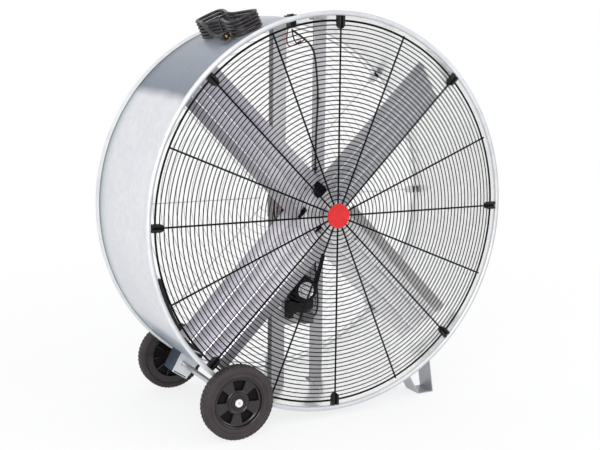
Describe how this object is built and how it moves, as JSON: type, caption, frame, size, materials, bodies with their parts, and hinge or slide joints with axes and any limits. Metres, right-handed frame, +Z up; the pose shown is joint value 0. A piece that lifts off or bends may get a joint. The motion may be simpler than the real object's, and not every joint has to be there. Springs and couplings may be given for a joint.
{
  "type": "drum fan",
  "caption": "Belt-driven drum fan: galvanised drum with wire guards and sheet blades, rolling on side wheels with strap feet opposite.",
  "frame": {"origin": "on the floor, midway between the drum's two faces and under its axis", "axes": "+Z up, -Y the way the air leaves, +X to the right seen from that side, wheels on the -X side"},
  "size_m": [1.136, 0.547, 1.1674],
  "materials": {
    "galvanised_sheet": "satin",
    "blade_sheet": "satin",
    "guard_black": "satin",
    "guard_zinc": "satin",
    "strut_steel": "satin",
    "steel": "satin",
    "cast_black": "satin",
    "motor_paint": "gloss",
    "box_grey": "matte",
    "black_plastic": "matte",
    "red_plastic": "gloss",
    "tyre_rubber": "matte",
    "hub_black": "satin",
    "belt_rubber": "matte",
    "cord_jacket": "matte",
    "brass_pin": "satin"
  },
  "bodies": {
    "frame": {"axle": "steel", "axle_bracket_front": "galvanised_sheet", "axle_bracket_rear": "galvanised_sheet", "axle_caps": "steel", "axle_spacers": "steel", "bearing_front": "cast_black", "bearing_plate_front": "strut_steel", "bearing_plate_rear": "strut_steel", "bearing_rear": "cast_black", "cable_clips": "black_plastic", "cord_gland": "black_plastic", "cord_hank": "cord_jacket", "cord_lead": "cord_jacket", "cord_tie": "black_plastic", "drive_belt": "belt_rubber", "drum_shell": "galvanised_sheet", "edge_guard": "black_plastic", "foot_front": "galvanised_sheet", "foot_rear": "galvanised_sheet", "frame_bolts": "steel", "front_guard_clips": "black_plastic", "front_guard_rings": "guard_black", "front_guard_spokes": "guard_black", "guard_badge": "red_plastic", "motor_box": "box_grey", "motor_bracket": "strut_steel", "motor_cable": "cord_jacket", "motor_cradle": "motor_paint", "motor_front_bell": "motor_paint", "motor_rear_bell": "motor_paint", "motor_shell": "motor_paint", "plug": "black_plastic", "plug_prongs": "brass_pin", "rear_guard_clips": "guard_zinc", "rear_guard_rings": "guard_zinc", "rear_guard_spokes": "guard_zinc", "strut_left": "strut_steel", "strut_right": "strut_steel", "switch_body": "black_plastic", "switch_wires": "cord_jacket"},
    "fan": {"fan_shaft": "steel", "fan_spider": "strut_steel", "blade_1": "blade_sheet", "blade_2": "blade_sheet", "blade_3": "blade_sheet", "blade_4": "blade_sheet", "blade_rivets": "steel", "fan_sheave": "cast_black", "shaft_collars": "steel"},
    "motor_rotor": {"motor_shaft": "steel", "motor_pulley": "steel"},
    "wheel_front": {"wheel_front_tyre": "tyre_rubber", "wheel_front_hub": "hub_black"},
    "wheel_rear": {"wheel_rear_tyre": "tyre_rubber", "wheel_rear_hub": "hub_black"},
    "rocker": {"switch_rocker": "black_plastic"}
  },
  "joints": [
    {"name": "fan_spin", "type": "hinge", "parent": "frame", "child": "fan", "pos_m": [0, 0, 0.591], "axis": [0, 1, 0], "continuous": true},
    {"name": "motor_spin", "type": "hinge", "parent": "frame", "child": "motor_rotor", "pos_m": [0, 0, 0.338], "axis": [0, 1, 0], "continuous": true},
    {"name": "wheel_front_spin", "type": "hinge", "parent": "frame", "child": "wheel_front", "pos_m": [-0.326, -0.253, 0.104], "axis": [0, 1, 0], "continuous": true},
    {"name": "wheel_rear_spin", "type": "hinge", "parent": "frame", "child": "wheel_rear", "pos_m": [-0.326, 0.253, 0.104], "axis": [0, 1, 0], "continuous": true},
    {"name": "switch_rock", "type": "hinge", "parent": "frame", "child": "rocker", "pos_m": [-0.07309, -0.06, 1.14621], "axis": [-0.9914, 0, -0.1305], "range_deg": [-12, 12]}
  ],
  "couplings": [
    {"joint": "motor_spin", "follows": "fan_spin", "ratio": 3}
  ]
}
